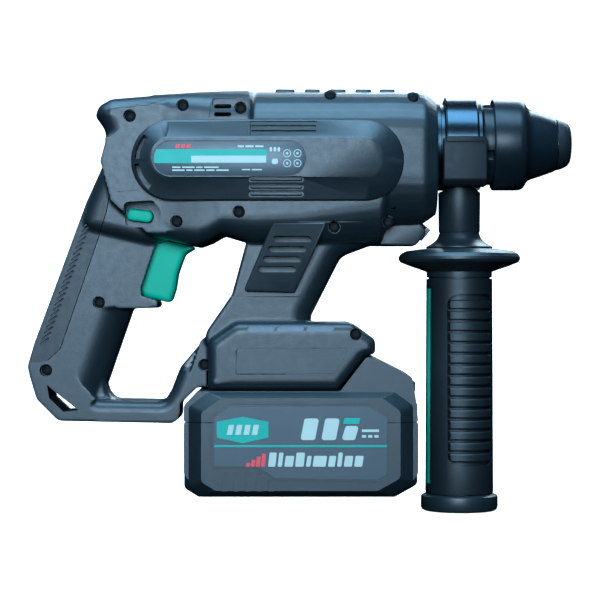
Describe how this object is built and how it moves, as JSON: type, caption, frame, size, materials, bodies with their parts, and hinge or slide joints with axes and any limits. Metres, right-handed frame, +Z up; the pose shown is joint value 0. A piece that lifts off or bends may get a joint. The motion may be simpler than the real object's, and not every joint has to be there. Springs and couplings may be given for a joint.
{
  "type": "rotary hammer",
  "caption": "Cordless rotary hammer with D-handle, slide battery, bit chuck, mode knob and a swivelling side handle; hollow shells hold a motor, gear train and hammer mechanism.",
  "frame": {"origin": "centre of the battery's flat base, in the plane of symmetry", "axes": "+X towards the chuck along the spindle, +Z up, +Y to the tool's left side"},
  "size_m": [0.2685, 0.0864, 0.2082],
  "materials": {
    "shell_plastic": "textured",
    "soft_grip": "matte",
    "green_plastic": "satin",
    "black_steel": "black oxide",
    "bright_steel": "satin",
    "cast_alloy": "satin",
    "laminations": "satin",
    "contact_brass": "satin",
    "circuit_board": "satin",
    "printed_label": "satin",
    "clear_lens": "clear",
    "battery_cells": "wrapped"
  },
  "bodies": {
    "housing": {"right_housing": "shell_plastic", "left_housing": "shell_plastic", "grip_pad": "soft_grip", "housing_screw_1": "black_steel", "housing_screw_2": "black_steel", "housing_screw_3": "black_steel", "motor_stator": "laminations", "motor_rear_bearing": "bright_steel", "motor_front_bearing": "bright_steel", "rear_bearing_cushion": "soft_grip", "countershaft_rear_bearing": "bright_steel", "countershaft_front_bearing": "bright_steel", "bearing_plate": "cast_alloy", "gear_case": "cast_alloy", "spindle_bearing": "bright_steel", "spindle_seal": "soft_grip", "trigger_switch": "shell_plastic", "trigger_spring": "bright_steel", "control_board": "circuit_board", "terminal_block": "contact_brass", "work_lamp": "shell_plastic", "lamp_lens": "clear_lens", "rating_plate": "printed_label"},
    "trigger": {"trigger": "green_plastic"},
    "direction_button": {"direction_button": "green_plastic"},
    "mode_knob": {"mode_knob": "shell_plastic"},
    "shift_fork": {"shift_fork": "bright_steel"},
    "rotor": {"motor_rotor": "laminations", "cooling_fan": "shell_plastic", "motor_pinion": "bright_steel"},
    "countershaft": {"countershaft": "bright_steel", "countershaft_gear": "bright_steel", "countershaft_pinion": "bright_steel", "wobble_hub": "bright_steel"},
    "spindle": {"spindle": "bright_steel", "spindle_gear": "bright_steel", "locking_ball_1": "bright_steel", "locking_ball_2": "bright_steel", "chuck_ring": "black_steel", "nose_cap": "soft_grip", "sleeve_spring": "bright_steel"},
    "chuck_sleeve": {"chuck_sleeve": "shell_plastic"},
    "wobble_ring": {"wobble_ring": "bright_steel"},
    "piston": {"piston": "cast_alloy"},
    "striker": {"striker": "bright_steel"},
    "impact_bolt": {"impact_bolt": "bright_steel"},
    "battery": {"battery_lower_case": "shell_plastic", "battery_upper_case": "shell_plastic", "cell_pack": "battery_cells", "battery_board": "circuit_board", "battery_label_right": "printed_label", "battery_label_left": "printed_label"},
    "battery_release": {"battery_release": "soft_grip"},
    "clamp": {"clamp_band": "black_steel", "clamp_saddle": "shell_plastic", "clamp_bolt": "bright_steel"},
    "thrust_washer": {"thrust_washer": "bright_steel"},
    "side_grip": {"side_grip": "shell_plastic", "grip_sleeve": "soft_grip", "grip_inlay": "green_plastic"}
  },
  "joints": [
    {"name": "trigger_pull", "type": "slide", "parent": "housing", "child": "trigger", "axis": [-0.9397, 0, 0.3419], "range_m": [0, 0.006], "stiffness_N_per_m": 900, "springref_m": -0.004, "deforming": ["trigger_spring"]},
    {"name": "direction_switch", "type": "slide", "parent": "housing", "child": "direction_button", "axis": [0, 1, 0], "range_m": [-0.003, 0.003]},
    {"name": "mode_select", "type": "hinge", "parent": "housing", "child": "mode_knob", "pos_m": [0.024, 0.042, 0.153], "axis": [0, 1, 0], "range_deg": [-90, 90]},
    {"name": "shift_travel", "type": "slide", "parent": "housing", "child": "shift_fork", "axis": [1, 0, 0], "range_m": [-0.003, 0.003]},
    {"name": "spindle_spin", "type": "hinge", "parent": "housing", "child": "spindle", "pos_m": [0.05, 0, 0.1703], "axis": [1, 0, 0], "continuous": true},
    {"name": "countershaft_spin", "type": "hinge", "parent": "housing", "child": "countershaft", "pos_m": [0.01, 0, 0.1433], "axis": [1, 0, 0], "continuous": true},
    {"name": "rotor_spin", "type": "hinge", "parent": "housing", "child": "rotor", "pos_m": [-0.06, 0, 0.1613], "axis": [1, 0, 0], "continuous": true},
    {"name": "sleeve_pull", "type": "slide", "parent": "spindle", "child": "chuck_sleeve", "axis": [-1, 0, 0], "range_m": [0, 0.0045], "stiffness_N_per_m": 2000, "springref_m": -0.005, "deforming": ["sleeve_spring"]},
    {"name": "wobble_rock", "type": "hinge", "parent": "housing", "child": "wobble_ring", "pos_m": [0.004, 0, 0.1433], "axis": [0, 1, 0], "range_deg": [-12, 12]},
    {"name": "piston_stroke", "type": "slide", "parent": "housing", "child": "piston", "axis": [1, 0, 0], "range_m": [-0.0056, 0.0056]},
    {"name": "striker_flight", "type": "slide", "parent": "housing", "child": "striker", "axis": [1, 0, 0], "range_m": [-0.004, 0.01]},
    {"name": "bolt_knock", "type": "slide", "parent": "housing", "child": "impact_bolt", "axis": [1, 0, 0], "range_m": [0, 0.003]},
    {"name": "side_handle_swing", "type": "hinge", "parent": "housing", "child": "clamp", "pos_m": [0.0796, 0, 0.1703], "axis": [1, 0, 0], "range_deg": [-180, 180]},
    {"name": "grip_thread", "type": "slide", "parent": "clamp", "child": "thrust_washer", "axis": [0, 0, -1], "range_m": [0, 0.0025]},
    {"name": "grip_unscrew", "type": "hinge", "parent": "thrust_washer", "child": "side_grip", "pos_m": [0.0796, 0, 0.1], "axis": [0, 0, -1], "range_deg": [0, 720]},
    {"name": "battery_slide", "type": "slide", "parent": "housing", "child": "battery", "axis": [1, 0, 0], "range_m": [0, 0.005]},
    {"name": "release_press", "type": "slide", "parent": "battery", "child": "battery_release", "axis": [-1, 0, 0], "range_m": [0, 0.003], "stiffness_N_per_m": 1200, "springref_m": -0.003}
  ],
  "couplings": [
    {"joint": "countershaft_spin", "follows": "spindle_spin", "ratio": -3.5},
    {"joint": "rotor_spin", "follows": "spindle_spin", "ratio": 14},
    {"joint": "wobble_rock", "follows": "piston_stroke", "rad_per_m": 37.037},
    {"joint": "mode_select", "follows": "shift_travel", "rad_per_m": 523.6},
    {"joint": "grip_unscrew", "follows": "grip_thread", "rad_per_m": 5026.5}
  ]
}
